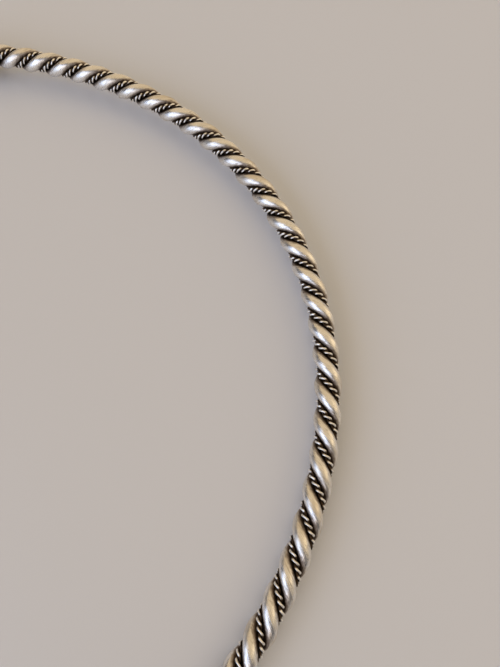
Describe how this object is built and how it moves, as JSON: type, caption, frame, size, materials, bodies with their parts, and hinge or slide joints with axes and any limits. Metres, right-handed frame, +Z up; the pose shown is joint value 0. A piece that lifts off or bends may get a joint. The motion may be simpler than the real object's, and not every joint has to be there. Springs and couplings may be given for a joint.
{
  "type": "twisted silver torc",
  "caption": "Open oval neck ring of twisted round silver wires with thin beaded cords laid in the grooves and a plain round knob on each end.",
  "frame": {"origin": "on the surface that the ring lies on, under the middle of the ring", "axes": "+Z up, the opening between the knobs towards -Y, the ring's width along X"},
  "size_m": [0.1558, 0.1346, 0.0078],
  "materials": {
    "polished_silver": "worn hand polish, black tarnish kept in the grooves",
    "blackened_silver": "blackened silver, rubbed bright on the outermost beads",
    "cast_silver": "smooth cast silver, satin, darker in the necks"
  },
  "bodies": {
    "root": {"heavy_wire_a": "polished_silver", "heavy_wire_b": "polished_silver", "beaded_cord_a": "blackened_silver", "beaded_cord_b": "blackened_silver", "terminal_left": "cast_silver", "terminal_right": "cast_silver"}
  },
  "joints": []
}
